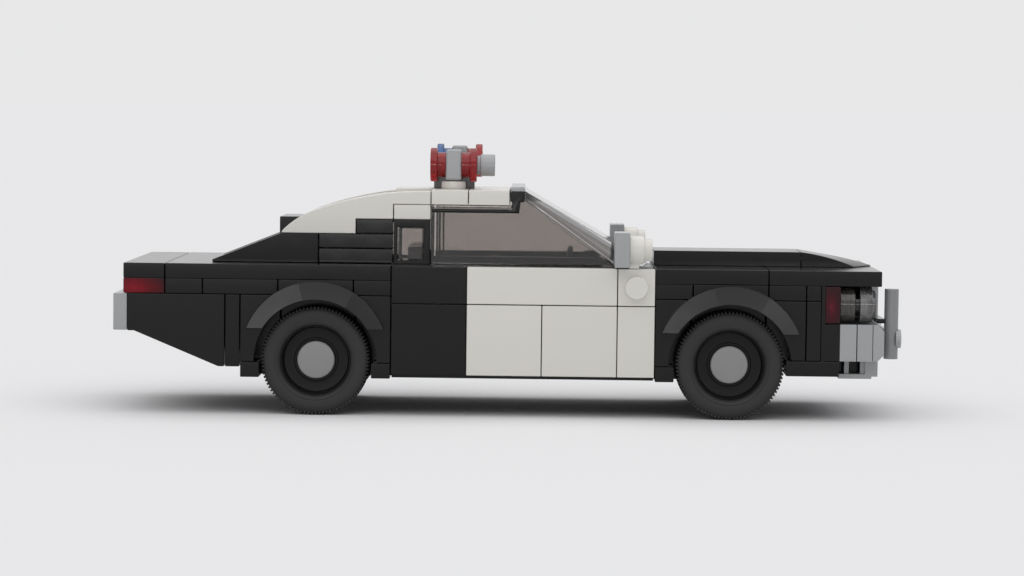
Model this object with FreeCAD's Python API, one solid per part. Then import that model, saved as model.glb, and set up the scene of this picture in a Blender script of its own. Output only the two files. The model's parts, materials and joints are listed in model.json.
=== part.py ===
import FreeCAD, Part
import math
import os

os.makedirs("parts", exist_ok=True)

# A building-brick toy of a police patrol car, in millimetres.
# +X is forward, +Y is the car's left, +Z is up and the floor is z = 0.
# Everything is laid out from the middle of the wheelbase, and moved to the origin at the very end.

Vec = FreeCAD.Vector

# ---- the brick system -------------------------------------------------------
stud = 8.0                  # pitch of the studs
plate = 3.2                 # height of one plate or tile
gap = 0.1                   # what each brick stays short of its grid on every side
stud_r = 2.4                # a stud, and the bore of a tube below
stud_h = 1.7
tube_r = 3.25               # outside of a tube on the underside of a plate
skirt = 1.5                 # side walls of a hollow plate
crown = 1.2                 # top wall of a hollow plate
bar_r = 1.6                 # round bars and the axle pins

# ---- heights, in plates from the side panels up -----------------------------
chassis_z0 = 2.5 * plate    # ground clearance
chassis_z1 = 3.5 * plate
side_z0 = 10.2              # lower edge of the side panels behind the rear wheels
side_z1 = 8 * plate         # top of the side panels
waist_z1 = 9 * plate        # top of the waist row
belt_z1 = 10 * plate        # top of the belt row, boot and front deck
ridge_z1 = 11 * plate       # top of the bonnet ridge
louvre_z1 = 12 * plate      # top of the second louvre row
arch_z1 = 13 * plate        # top of the third louvre row and of the quarter window
eaves_z1 = 14 * plate       # under side of the roof tiles
roof_z1 = 15 * plate

# ---- stations along the car, in studs from the middle of the wheelbase ------
rear_x = -10.5 * stud
boot_seam_x = -9.5 * stud
rear_arch_x0 = -7.5 * stud
rear_wheel_x = -5.5 * stud
rear_arch_x1 = -3.5 * stud
glass_x0 = -2.5 * stud
door_x0 = -1.5 * stud
roof_front_x = -3.1
screen_top_x = 0.0
lower_door_x = 0.5 * stud
door_x1 = 2.5 * stud
front_arch_x0 = 3.5 * stud
front_wheel_x = 5.5 * stud
front_arch_x1 = 7.5 * stud
deck_x1 = 9.5 * stud

# ---- widths, from the centre line -------------------------------------------
side_y = 3 * stud           # outer faces of the body
cabin_y = 2 * stud          # cabin, chassis and inner faces of the wheels
ridge_y = 1 * stud          # bonnet ridge, and the space between the rear pillars

# ---- wheels -----------------------------------------------------------------
tyre_r = 11.6
tyre_gap = 0.3              # between a tyre and the core beside it
tyre_w = 7.3
tread_round = 1.3           # shoulder radius
rim_r = 7.4
rim_lip = 0.7
rim_depth = 3.6             # from the tyre's outer face down to the bottom of the dish
cap_r = 4.0
cap_t = 1.2
pin_fit = 0.05              # running clearance of a wheel on its pin, radial
pin_len = 3.1

# ---- wheel arches -----------------------------------------------------------
arch_r = 13.0               # cut in a panel that is two bricks tall
tyre_clear = 0.3            # from the ends of the side plates to a tyre
flare_w = 2.7               # width of a flare's band
flare_r = arch_r + flare_w
flare_rise = 1.3            # centre of that curve above the axle
flare_t = 2.9               # how far its face would stand out at the axle
flare_slope = 5.0           # fall of the face, in degrees
flare_facets = (-34.0, 10.0, 48.0)  # middles of its facets, in degrees forward from the top
flare_end_z = 18.4

# ---- doors ------------------------------------------------------------------
door_z0 = 8.8
door_seam_z = 3 * stud
tile_t = plate

# ---- rear end ---------------------------------------------------------------
wedge_foot_x = -64.6        # lower end of the slanting under edge
wedge_heel_x = -82.5        # upper end of it
wedge_heel_z = 17.6
deck_overhang = 0.9         # deck and tail lamps stand this far behind the side panels
bumper_t = 2.9
rear_bumper_z0 = 17.6
corner_t = plate            # upright plates at both ends of the side

# ---- rear pillars -----------------------------------------------------------
buttress_x0 = -66.8
buttress_x1 = -6.5 * stud
buttress_toe = 0.5          # blunt lower edge of the slope
pillar_seam_x = -4.5 * stud
pillar_toe = 0.4            # blunt lower edge of the white curve
pillar_low = (-48.5, 41.6)  # x and z of points up the curve, which is two arcs
pillar_bend = (-44.0, 43.7)
pillar_high = (-33.4, 46.5)
pillar_top_z = 47.6
pane_t = 1.0
quarter_rear = 0.8          # the four bars of the quarter window's frame
quarter_front = 1.5
quarter_foot = 0.8
quarter_head = 1.8
frame_t = 4.0               # depth of that frame
back_top = ((-45.0, 42.6), (-36.0, 45.5), (-28.1, 46.8))  # outside of the back window
back_under = ((-28.1, 45.6), (-36.0, 44.3), (-44.0, 41.6))  # and its inside
shelf_x0 = -53.0

# ---- bonnet ridge, which slopes down further at its centre than at its edges
ridge_toe = 0.2
ridge_edge_mid = (66.0, 34.05)
ridge_edge_x1 = 71.4
ridge_centre_mid = (68.0, 34.15)

# ---- windscreen and roof edge -----------------------------------------------
screen_head = 2.2           # height of the windscreen's top edge
screen_foot = 8.3           # length of its foot on the belt row
hinge_x0 = -3.0             # block that the windscreen's top edge stands against
hinge_z0 = 45.6
hinge_z1 = 47.8
prop_x0 = -2.65             # short props under that block, at the front ends of the rails
prop_x1 = -1.0
cap_z1 = 48.75
side_rail_z0 = 43.2         # thin rails over the side panes
side_rail_z1 = 43.8
pane_posts = (-19.7, -18.3) # rear edges of the thin posts inside the side panes
pane_post_t = 0.4

# ---- cabin ------------------------------------------------------------------
sill_h = 1.8
sill_t = 1.6
seat_len = 9.0
seat_h = 7.0
seat_back_t = 2.7
seat_w = 10.0
seat_y = 6.4                # middle of a seat
front_seat_x = -8.0
front_seat_z1 = 33.0
rear_seat_x = -25.0
rear_seat_z1 = 35.5
dash_len = 8.0
dash_z1 = 31.4
console_x0 = 13.2
console_len = 2.4
console_w = 3.0
console_z1 = 34.7
wheel_rim_r = 2.8
wheel_bar_r = 0.6
steer_x = 9.7
steer_z = 32.0
steer_tilt = 10.0

# ---- nose -------------------------------------------------------------------
bracket_t = 0.8
marker_x0 = front_arch_x1 + corner_t + bracket_t
marker_x1 = marker_x0 + plate
lamp_t = 3.2
lamp_r = 3.9
lamp_neck_r = 2.4
lamp_neck = 1.0
lamp_front_t = 2.7
lamp_z0 = 6.5 * plate
bumper_z0 = 4 * plate
bumper_ahead = 0.3          # of the side markers
bumper_x0 = marker_x1 + bumper_ahead
bumper_seam = 0.2           # between the bumper's two thick plates
bumper_pitch = plate + bumper_seam
bumper_x1 = bumper_x0 + bumper_pitch + plate
bumper_front_t = 2.3        # corner blocks at the bumper's ends
bumper_corner = 1.4
bumper_corner_w = 12.0
rail_z0 = 8.9
rail_t = 1.0
rail_out = 0.3              # how far the rail reaches past the bumper
rail_x1 = bumper_x1 + rail_out
stub_t = 1.0
step_in = 1.1
step_len = 2.7
step_x0 = bumper_x1 - step_in
step_x1 = step_x0 + step_len
post_r = 1.5
post_gap = 0.3              # from the bumper's corners to the posts
push_x = bumper_x0 + 2 * bumper_pitch + bumper_front_t + post_gap + post_r
push_z0 = 13.3
push_z1 = 28.2
push_y = 2.5 * stud
push_bar_z = 17.6           # height of the cross bar
push_stay_y = 7.0
cross_r = 1.3               # cross bar and stays
stay_z0 = 20.9              # plate that ties the posts to the nose, over the bumper
stay_t = 1.0
stay_gap = 0.3              # from the headlamps
lens_r = 3.0                # raised front of a headlamp
lens_t = 0.8
buffer_r = 2.0
buffer_out = 0.5            # how far a buffer stands out from its post
buffer_in = 0.6             # and reaches back round it
buffer_x1 = push_x + post_r + buffer_out
fin_t = 0.8
fin_pitch = 1.6
fin_depth = 1.4

# ---- mirrors ----------------------------------------------------------------
mirror_y1 = 27.2
mirror_x0 = 19.2
mirror_z0 = 32.3
mirror_h = 7.4
mirror_round_r = 3.0
mirror_round_t = 3.1
mirror_foot_t = 2.1

# ---- light bar --------------------------------------------------------------
light_x = -15.4
light_y = 8.0
light_ahead = 0.9           # the left unit sits this far forward of the right one,
light_lift = 0.7            # and this much higher, loose on its stud
light_base_r = 2.6
light_base_h = 1.7
light_neck_h = 0.2
light_core_t = 3.4
light_core_w = 5.4
light_core_h = 6.6
light_neck_r = 1.3
light_lamp_t = 3.3
light_lamp_r = 3.75
light_lamp_neck_r = 2.7
light_lamp_rim = 1.5
siren_r = 2.4
siren_neck_r = 1.5
siren_neck = 0.9
siren_len = 3.0
saddle_h = 3.0
saddle_len = 8.8
saddle_w = 7.6

# ---- what follows from these ------------------------------------------------
core_y = cabin_y - gap
tyre_y0 = core_y + tyre_gap
tyre_y1 = tyre_y0 + tyre_w
axle_z = tyre_r
light_z = roof_z1 + light_base_h + light_neck_h + light_core_h / 2
front_face = max(buffer_x1, push_x + post_r)
rear_face = rear_x - bumper_t
middle_x = (front_face + rear_face) / 2
up = Vec(0, 0, 1)
across = Vec(0, 1, 0)
along = Vec(1, 0, 0)


def box(x0, x1, y0, y1, z0, z1):
    return Part.makeBox(x1 - x0, y1 - y0, z1 - z0, Vec(x0, y0, z0))


def brick(x0, x1, y0, y1, z0, z1):
    """A brick standing on its underside, short of its grid on its four sides."""
    return box(x0 + gap, x1 - gap, y0 + gap, y1 - gap, z0, z1)


def side_tile(x0, x1, z0, z1, depth=tile_t, outer=side_y):
    """A tile on the car's right side that faces outwards."""
    return box(x0 + gap, x1 - gap, -outer, depth - outer, z0 + gap, z1 - gap)


def front_plate(x0, x1, y0, y1, z0, z1):
    """A plate that faces forwards, short of its grid in width and height."""
    return box(x0, x1, y0 + gap, y1 - gap, z0 + gap, z1 - gap)


def polyline(points):
    """Straight edges in the XZ plane through (x, z) points."""
    return Part.makePolygon([Vec(x, 0, z) for x, z in points])


def arc(start, middle, end):
    """An arc in the XZ plane through three (x, z) points."""
    return Part.Arc(*[Vec(x, 0, z) for x, z in (start, middle, end)]).toShape()


def outline(points):
    """A closed face in the XZ plane from (x, z) corners."""
    return Part.Face(polyline(points + points[:1]))


def prism(face, y0, y1):
    solid = face.extrude(Vec(0, y1 - y0, 0))
    solid.translate(Vec(0, y0, 0))
    return solid


def rod(start, direction, length, radius):
    return Part.makeCylinder(radius, length, start, direction)


def turned(points):
    """A solid turned about the Y axis from (radius, y) corners."""
    corners = [Vec(r, y, 0) for r, y in points]
    face = Part.Face(Part.makePolygon(corners + corners[:1]))
    return face.revolve(Vec(0, 0, 0), across, 360)


def fuse(first, *others):
    return first.fuse(list(others)).removeSplitter()


def mirrored(shape):
    return shape.mirror(Vec(0, 0, 0), across)


def pairs(shapes):
    """Each right-hand piece with its left-hand twin."""
    return shapes + [mirrored(shape) for shape in shapes]


def save(node, shapes):
    whole = shapes[0] if len(shapes) == 1 else Part.makeCompound(shapes)
    whole = whole.copy()
    whole.translate(Vec(-middle_x, 0, 0))
    whole.exportStep("parts/" + node + ".step")
    print(node, len(whole.Solids), round(whole.Volume, 1), whole.isValid())


# ---- chassis ----------------------------------------------------------------
def chassis_plate():
    x0 = rear_arch_x0
    x1 = front_wheel_x + stud
    body = brick(x0, x1, -cabin_y, cabin_y, chassis_z0, chassis_z1)
    hollow = box(x0 + gap + skirt, x1 - gap - skirt, skirt - core_y, core_y - skirt,
                 chassis_z0, chassis_z1 - crown)
    body = body.cut(hollow)
    depth = chassis_z1 - crown - chassis_z0
    tubes = []
    for column in range(1, round((x1 - x0) / stud)):
        for row in range(1, round(2 * cabin_y / stud)):
            centre = Vec(x0 + column * stud, row * stud - cabin_y, chassis_z0)
            ring = rod(centre, up, depth, tube_r).cut(rod(centre, up, depth, stud_r))
            tubes.append(ring)
    return fuse(body, *tubes)


def axle_holder(x):
    block = brick(x - stud, x + stud, -cabin_y, cabin_y, chassis_z1, chassis_z1 + 2 * plate)
    pins = [rod(Vec(x, side * core_y, axle_z), Vec(0, side, 0), pin_len, bar_r) for side in (-1, 1)]
    return fuse(block, *pins)


def core_bricks():
    holder_top = chassis_z1 + 2 * plate
    # x0, x1, z0 of each brick between the side panels
    table = (
        (rear_arch_x0, rear_wheel_x - stud, chassis_z1),
        (rear_wheel_x - stud, rear_wheel_x + stud, holder_top),
        (rear_wheel_x + stud, rear_arch_x1, chassis_z1),
        (front_arch_x0, front_wheel_x - stud, chassis_z1),
        (front_wheel_x - stud, front_wheel_x + stud, holder_top),
        (front_wheel_x + stud, front_arch_x1, chassis_z1),
    )
    return [brick(x0, x1, -cabin_y, cabin_y, z0, side_z1) for x0, x1, z0 in table]


# ---- sides ------------------------------------------------------------------
def arch_panel(x, foot_z):
    """A panel with a wheel arch in it; its front foot stands at foot_z."""
    panel = side_tile(x - 2 * stud, x + 2 * stud, chassis_z1, side_z1, side_y - cabin_y - gap)
    panel = panel.cut(rod(Vec(x, -side_y, axle_z), across, stud, arch_r))
    return panel.cut(box(x, x + 2 * stud, -side_y, -cabin_y, chassis_z1, foot_z + gap))


def arch_flare(x):
    """A band over the arch; its face is three flat facets that fall back outwards."""
    front = -side_y - flare_t
    reach = 2 * flare_r
    band = rod(Vec(x, front, axle_z + flare_rise), across, flare_t, flare_r)
    band = band.cut(rod(Vec(x, front, axle_z), across, flare_t, arch_r))
    band = band.cut(box(x - reach, x + reach, front, -side_y, axle_z - reach, flare_end_z))
    fall = reach * math.tan(math.radians(flare_slope))
    corners = [Vec(0, 0, 0), Vec(0, fall, reach), Vec(0, 0, reach), Vec(0, 0, 0)]
    for facet in flare_facets:
        waste = Part.Face(Part.makePolygon(corners)).extrude(Vec(2 * reach, 0, 0))
        waste.translate(Vec(-reach, 0, 0))
        waste.rotate(Vec(0, 0, 0), across, facet)
        waste.translate(Vec(x, front, axle_z))
        band = band.cut(waste)
    return band


def wedge_outline(x0, x1):
    return outline([(x0, side_z1 - gap), (x1, side_z1 - gap), (x1, side_z0),
                    (wedge_foot_x, side_z0), (wedge_heel_x, wedge_heel_z), (x0, wedge_heel_z)])


def rear_wedges():
    x1 = rear_arch_x0 - corner_t
    return pairs([prism(wedge_outline(rear_x + gap, x1 - gap), -side_y, -cabin_y - gap)])


def corner_plates():
    deep = side_y - cabin_y - gap
    rear = side_tile(rear_arch_x0 - corner_t, rear_arch_x0, side_z0 - gap, side_z1, deep)
    front = side_tile(front_arch_x1, front_arch_x1 + corner_t, bumper_z0, side_z1, deep)
    return pairs([rear, front])


def side_plates():
    """Rows of plates along the chassis, flush with the arches and set back behind the doors."""
    low = bumper_z0 - plate
    door_y = tile_t - side_y + gap
    inner_y = -cabin_y - gap
    reach = tyre_r + tyre_clear
    # x0, x1, outer y, z0
    table = (
        (rear_arch_x0 + gap, rear_wheel_x - reach, -side_y, chassis_z0),
        (rear_wheel_x + reach, rear_arch_x1 - gap, -side_y, chassis_z0),
        (rear_arch_x1 + gap, front_arch_x0 - gap, door_y, chassis_z0),
        (front_arch_x0 + gap, front_wheel_x - reach, -side_y, chassis_z0),
        (front_wheel_x + reach, marker_x1 - gap, -side_y, low),
    )
    rows = pairs([box(x0, x1, y0, inner_y, z0, z0 + plate) for x0, x1, y0, z0 in table])
    middle = brick(front_arch_x1, marker_x1, -cabin_y, cabin_y, low, bumper_z0)
    nose = box(marker_x1, step_x0 - gap, -core_y, core_y, rail_z0 + rail_t, bumper_z0)
    return rows + [middle, nose]


def black_door_tiles():
    upper = side_tile(rear_arch_x1, door_x0, door_seam_z, belt_z1)
    lower = side_tile(rear_arch_x1, door_x0, door_z0, door_seam_z)
    return pairs([upper, lower])


def white_door_tiles():
    # x0, x1, z0, z1
    table = (
        (door_x0, door_x1, door_seam_z, belt_z1),
        (door_x0, lower_door_x, door_z0, door_seam_z),
        (lower_door_x, door_x1, door_z0, door_seam_z),
    )
    return pairs([side_tile(*row) for row in table])


def white_columns():
    upper = side_tile(door_x1, front_arch_x0, door_seam_z, belt_z1)
    centre = Vec(door_x1 + stud / 2, -side_y, door_seam_z + stud / 2)
    upper = fuse(upper, rod(centre, Vec(0, -1, 0), stud_h, stud_r))
    lower = side_tile(door_x1, front_arch_x0, door_z0, door_seam_z)
    return pairs([upper, lower])


def door_walls():
    wall = box(rear_arch_x1 + gap, front_arch_x0 - gap, tile_t - side_y, -core_y, chassis_z1, belt_z1)
    return pairs([wall])


# ---- waist and belt rows ----------------------------------------------------
def waist_plates():
    front = (front_arch_x0, front_wheel_x - stud, front_wheel_x + stud, front_arch_x1,
             front_arch_x1 + corner_t)
    rear = (boot_seam_x, boot_seam_x + stud, rear_wheel_x - stud, rear_wheel_x + stud, rear_arch_x1)
    rows = [brick(rear_x - deck_overhang, boot_seam_x, -ridge_y, ridge_y, side_z1, waist_z1)]
    for seams in (front, rear):
        for x0, x1 in zip(seams, seams[1:]):
            rows.append(brick(x0, x1, -side_y, side_y, side_z1, waist_z1))
    return rows


def front_deck():
    seams = (front_arch_x0, front_wheel_x + stud, deck_x1)
    return [brick(x0, x1, -side_y, side_y, waist_z1, belt_z1) for x0, x1 in zip(seams, seams[1:])]


def boot_deck():
    seams = (rear_x - deck_overhang, boot_seam_x, rear_arch_x1)
    return [brick(x0, x1, -side_y, side_y, waist_z1, belt_z1) for x0, x1 in zip(seams, seams[1:])]


def ridge_section(y, middle, x1):
    """Outline of the ridge's sloping end at one width; its curve passes through middle, x and z."""
    top = Vec(front_arch_x1 + gap, y, ridge_z1)
    toe = Vec(x1, y, belt_z1 + ridge_toe)
    bow = Part.Arc(top, Vec(middle[0], y, middle[1]), toe).toShape()
    rest = Part.makePolygon([toe, Vec(x1, y, belt_z1), Vec(top.x, y, belt_z1), top])
    return Part.Wire([bow] + rest.Edges)


def bonnet_ridge():
    flat = brick(front_arch_x0, front_arch_x1, -ridge_y, ridge_y, belt_z1, ridge_z1)
    edge = ridge_section(gap - ridge_y, ridge_edge_mid, ridge_edge_x1)
    centre = ridge_section(-gap, ridge_centre_mid, deck_x1 - gap)
    return [flat] + pairs([Part.makeLoft([edge, centre], True, True)])


# ---- rear pillars, roof and glass -------------------------------------------
def buttresses():
    face = outline([(buttress_x0, belt_z1), (buttress_x0, belt_z1 + buttress_toe),
                    (buttress_x1, louvre_z1), (rear_wheel_x - gap, louvre_z1),
                    (rear_wheel_x - gap, belt_z1)])
    return pairs([prism(face, -core_y, -ridge_y - gap)])


def louvres():
    # x0, x1, z0, z1
    table = (
        (rear_wheel_x, rear_arch_x1, belt_z1, ridge_z1),
        (rear_wheel_x, rear_arch_x1, ridge_z1, louvre_z1),
        (pillar_seam_x, rear_arch_x1, louvre_z1, arch_z1),
    )
    rows = []
    for x0, x1, z0, z1 in table:
        rows.append(box(x0 + gap, x1 - gap, -core_y, -ridge_y - gap, z0 + gap, z1 - gap))
    return pairs(rows)


def white_pillars():
    x0 = buttress_x1 + gap
    x1 = rear_arch_x1 - gap
    start = (x0, louvre_z1 + pillar_toe)
    end = (glass_x0 - gap, pillar_top_z)
    lower = arc(start, pillar_low, pillar_bend)
    upper = arc(pillar_bend, pillar_high, end)
    rest = polyline([end, (end[0], eaves_z1), (x1, eaves_z1), (x1, arch_z1),
                     (pillar_seam_x - gap, arch_z1), (pillar_seam_x - gap, louvre_z1),
                     (x0, louvre_z1), start])
    face = Part.Face(Part.Wire([lower, upper] + rest.Edges))
    curve = prism(face, -core_y, -ridge_y - gap)
    block = brick(rear_arch_x1, glass_x0, -cabin_y, -ridge_y, arch_z1, eaves_z1 - gap)
    return pairs([curve, block])


def quarter_frames():
    x0 = rear_arch_x1 + gap
    x1 = glass_x0 - gap
    frame = box(x0, x1, -core_y, frame_t - core_y, belt_z1, arch_z1)
    light = box(x0 + quarter_rear, x1 - quarter_front, -cabin_y, frame_t - core_y,
                belt_z1 + quarter_foot, arch_z1 - quarter_head)
    return pairs([frame.cut(light)])


def roof_tiles():
    # x0, x1, half width; the first lies between the rear pillars
    table = (
        (rear_arch_x1, glass_x0, ridge_y),
        (glass_x0, door_x0, cabin_y),
        (door_x0, roof_front_x, cabin_y),
    )
    return [brick(x0, x1, -y, y, eaves_z1, roof_z1) for x0, x1, y in table]


def roof_frame():
    """Rails over the side panes, whose props carry the block behind the windscreen's top edge."""
    rail = box(glass_x0 + gap, prop_x1, -core_y, frame_t - core_y, side_rail_z0, side_rail_z1)
    prop = box(prop_x0, prop_x1, -core_y, frame_t - core_y, side_rail_z1, hinge_z0)
    block = box(hinge_x0, screen_top_x, -core_y, core_y, hinge_z0, hinge_z1)
    return [fuse(block, *pairs([rail, prop]))]


def screen_inner_x(z):
    """Where the windscreen's inner face is at a height."""
    head_z = roof_z1 - screen_head
    foot_x = front_arch_x0 - screen_foot
    return screen_top_x + (foot_x - screen_top_x) * (head_z - z) / (head_z - belt_z1)


def windscreen():
    face = outline([(screen_top_x, roof_z1), (front_arch_x0, belt_z1),
                    (front_arch_x0 - screen_foot, belt_z1), (screen_top_x, roof_z1 - screen_head)])
    return [prism(face, -core_y, core_y)]


def screen_cap():
    return [box(hinge_x0 + gap, screen_top_x, -core_y, core_y, hinge_z1, cap_z1)]


def quarter_glass():
    """A pane in each quarter window, in the middle of its frame's depth."""
    y = (frame_t - pane_t) / 2 - core_y
    return pairs([box(rear_arch_x1 + quarter_rear + 2 * gap, glass_x0 - quarter_front - 2 * gap,
                      y, y + pane_t, belt_z1 + quarter_foot + gap, arch_z1 - quarter_head - gap)])


def side_glass():
    """The side panes, which rise in front of the props, and the strips over the rails."""
    back = 2 * gap
    x0 = glass_x0 + gap
    face = outline([(x0, belt_z1), (screen_inner_x(belt_z1) - back, belt_z1),
                    (screen_inner_x(hinge_z0) - back, hinge_z0), (prop_x1 + gap, hinge_z0),
                    (prop_x1 + gap, side_rail_z0), (x0, side_rail_z0)])
    pane = prism(face, -core_y, pane_t - core_y)
    strip = box(x0, prop_x0 - gap, -core_y, pane_t - core_y, side_rail_z1, eaves_z1)
    return pairs([pane, strip])


def back_glass():
    """The bowed back window, from the shelf up to the roof tiles."""
    y = ridge_y - gap
    top = arc(*back_top)
    under = arc(*back_under)
    head = polyline([back_top[-1], back_under[0]])
    foot = polyline([back_under[-1], (back_top[0][0], back_under[-1][1]), back_top[0]])
    return [prism(Part.Face(Part.Wire([top] + head.Edges + [under] + foot.Edges)), -y, y)]


def rear_shelf():
    """A block between the rear pillars, with a plate on it that meets the back window."""
    y = ridge_y - gap
    block = box(shelf_x0, rear_wheel_x, -y, y, belt_z1, louvre_z1)
    top = box(shelf_x0, pillar_seam_x - gap, -y, y, louvre_z1, arch_z1)
    return [fuse(block, top)]


# ---- cabin ------------------------------------------------------------------
def window_sills():
    """A sill inside each side pane, with the thin posts at its rear end."""
    y = core_y - pane_t - gap
    sill = box(glass_x0 + gap, screen_inner_x(belt_z1 + sill_h) - 2 * gap, -y, sill_t - y,
               belt_z1, belt_z1 + sill_h)
    posts = [box(x, x + pane_post_t, -y, sill_t - y, belt_z1, side_rail_z0) for x in pane_posts]
    return pairs([fuse(sill, *posts)])


def seats():
    solids = []
    y0 = -seat_y - seat_w / 2
    # x of the back's rear face, top of the back
    for x, z1 in ((front_seat_x, front_seat_z1), (rear_seat_x, rear_seat_z1)):
        cushion = box(x, x + seat_len, y0, y0 + seat_w, chassis_z1, chassis_z1 + seat_h)
        back = box(x, x + seat_back_t, y0, y0 + seat_w, chassis_z1, z1)
        solids.append(fuse(cushion, back))
    return pairs(solids)


def dashboard():
    x1 = front_arch_x0 - gap
    slab = box(x1 - dash_len, x1, gap - core_y, core_y - gap, chassis_z1, dash_z1)
    console = box(console_x0, console_x0 + console_len, -console_w / 2, console_w / 2,
                  chassis_z1, console_z1)
    tie = box(console_x0, x1 - dash_len, -console_w / 2, console_w / 2, chassis_z1, dash_z1)
    return [fuse(slab, tie, console)]


def steering_wheel():
    tilt = math.radians(steer_tilt)
    lean = Vec(-math.cos(tilt), 0, math.sin(tilt))
    centre = Vec(steer_x, ridge_y, steer_z)
    hoop = Part.makeTorus(wheel_rim_r, wheel_bar_r, centre, lean)
    hub = rod(centre - lean * wheel_bar_r, lean, 2 * wheel_bar_r, 2 * wheel_bar_r)
    side = Vec(math.sin(tilt), 0, math.cos(tilt))
    spokes = [rod(centre, way, wheel_rim_r, wheel_bar_r) for way in (across, across * -1, side * -1)]
    dash_face = front_arch_x0 - gap - dash_len
    reach = (dash_face - steer_x) / math.cos(tilt)
    column = rod(centre, lean * -1, reach + 2 * wheel_bar_r, wheel_bar_r)
    column = column.cut(dashboard()[0])
    return [fuse(hoop, hub, column, *spokes)]


# ---- nose -------------------------------------------------------------------
def nose_plate():
    """The bracket behind the lamps, with the plate on its lower half."""
    x0 = front_arch_x1 + corner_t
    bracket = box(x0, marker_x0, gap - side_y, side_y - gap, bumper_z0, waist_z1)
    lower = front_plate(marker_x0, marker_x1, -side_y, side_y, bumper_z0, lamp_z0)
    return [fuse(bracket, lower)]


def side_markers():
    return pairs([front_plate(marker_x0, marker_x1, -side_y, -cabin_y, lamp_z0, waist_z1)])


def headlamps():
    z = (lamp_z0 + waist_z1) / 2
    rounds = []
    for y in (-side_y + stud / 2, -cabin_y + stud / 2):
        first = rod(Vec(marker_x1, y, z), along, lamp_t, lamp_r)
        neck = rod(Vec(marker_x1 + lamp_t, y, z), along, lamp_neck, lamp_neck_r)
        second = rod(Vec(marker_x1 + lamp_t + lamp_neck, y, z), along, lamp_front_t, lamp_r)
        lens = rod(Vec(marker_x1 + lamp_t + lamp_neck + lamp_front_t, y, z), along, lens_t, lens_r)
        rounds.append(fuse(first, neck, second, lens))
    return pairs(rounds)


def grille():
    half = cabin_y - stud
    back = front_plate(marker_x0, marker_x1, -cabin_y, cabin_y, lamp_z0, waist_z1)
    face = marker_x1 + lamp_t + lamp_neck + lamp_front_t - fin_depth
    block = front_plate(marker_x1, face, -half, half, lamp_z0, waist_z1)
    fins = []
    z = lamp_z0 + fin_pitch / 2
    while z + fin_t < waist_z1:
        fins.append(box(face, face + fin_depth, gap - half, half - gap, z, z + fin_t))
        z += fin_pitch
    stay_x0 = face + fin_depth + lens_t + stay_gap
    stay_y1 = push_y + post_r
    tongue = box(face, stay_x0, gap - half, half - gap, stay_z0, stay_z0 + stay_t)
    stay = box(stay_x0, push_x - post_r, -stay_y1, stay_y1, stay_z0, stay_z0 + stay_t)
    return [fuse(back, block, tongue, stay, *fins)]


def front_bumper():
    top = lamp_z0 - gap
    y = side_y - gap
    low = bumper_z0 + gap
    first = box(marker_x1, bumper_x0 + plate, -y, y, low, top)
    x1 = bumper_x0 + bumper_pitch
    second = box(x1, x1 + plate, -y, y, low, top)
    tie = box(bumper_x0 + plate, x1, -stud, stud, low + gap, top - gap)
    return [fuse(first, second, tie, *bumper_rails())]


def bumper_corners():
    x0 = bumper_x0 + 2 * bumper_pitch
    x1 = x0 + bumper_front_t
    block = box(x0 - gap, x1, gap - side_y, bumper_corner_w - side_y, bumper_z0 + gap, lamp_z0 - gap)
    rims = [e for e in block.Edges if e.BoundBox.XMin > x1 - gap and e.BoundBox.ZLength < gap]
    block = block.makeChamfer(bumper_corner, rims)
    return pairs([block])


def bumper_rails():
    """What hangs below the bumper: a thin rail on stubs, and a step at each end."""
    y = side_y - stud / 2
    top = bumper_z0 + gap
    rail = box(marker_x1 + gap, rail_x1, -y, y, rail_z0, rail_z0 + rail_t)
    stubs = []
    for x in (bumper_x0 + plate / 2, bumper_x0 + bumper_pitch + plate / 2):
        for side in (-1, 1):
            y0 = side * (y - stub_t)
            stubs.append(box(x - stub_t / 2, x + stub_t / 2, y0 - stub_t / 2, y0 + stub_t / 2,
                             rail_z0 + rail_t, top))
    for side in (-1, 1):
        y0 = side * (y - stub_t)
        stubs.append(box(step_x0, step_x1, y0 - stub_t, y0 + stub_t, rail_z0 + rail_t / 2, bumper_z0))
        stubs.append(box(step_x0, bumper_x1, y0 - stub_t, y0 + stub_t, bumper_z0, top))
    return [rail] + stubs


def push_bar():
    """A post before each pair of headlamps, joined by a cross bar that is stayed to the bumper."""
    height = push_z1 - push_z0
    rods = [rod(Vec(push_x, -push_y, push_bar_z), across, 2 * push_y, cross_r)]
    for side in (-1, 1):
        rods.append(rod(Vec(push_x, side * push_y, push_z0), up, height, post_r))
        stay = Vec(bumper_x1, side * push_stay_y, push_bar_z)
        rods.append(rod(stay, along, push_x - bumper_x1, cross_r))
    return [fuse(*rods)]


def push_buffers():
    x0 = push_x + post_r - buffer_in
    disc = rod(Vec(x0, -push_y, push_bar_z), along, buffer_x1 - x0, buffer_r)
    return pairs([disc.cut(push_bar()[0])])


# ---- tail -------------------------------------------------------------------
def tail_lamps():
    return pairs([brick(rear_x - deck_overhang, boot_seam_x, -side_y, -ridge_y, side_z1, waist_z1)])


def rear_bumper():
    return [front_plate(rear_x - bumper_t, rear_x, -side_y, side_y, rear_bumper_z0, side_z1)]


def tail_core():
    x1 = rear_arch_x0 - gap
    low = side_z0 + plate
    face = outline([(rear_x, side_z1), (x1, side_z1), (x1, low), (rear_arch_x0 - corner_t, low),
                    (wedge_heel_x + stud, wedge_heel_z), (rear_x, wedge_heel_z)])
    return [prism(face, -core_y, core_y)]


# ---- mirrors ----------------------------------------------------------------
def mirror_middle():
    return Vec(mirror_x0 + plate, -mirror_y1 + stud / 2, mirror_z0 + mirror_h / 2)


def mirror_tiles():
    y0 = gap - mirror_y1
    y1 = y0 + stud - 2 * gap
    return pairs([box(mirror_x0, mirror_x0 + plate, y0, y1, mirror_z0, mirror_z0 + mirror_h)])


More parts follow.
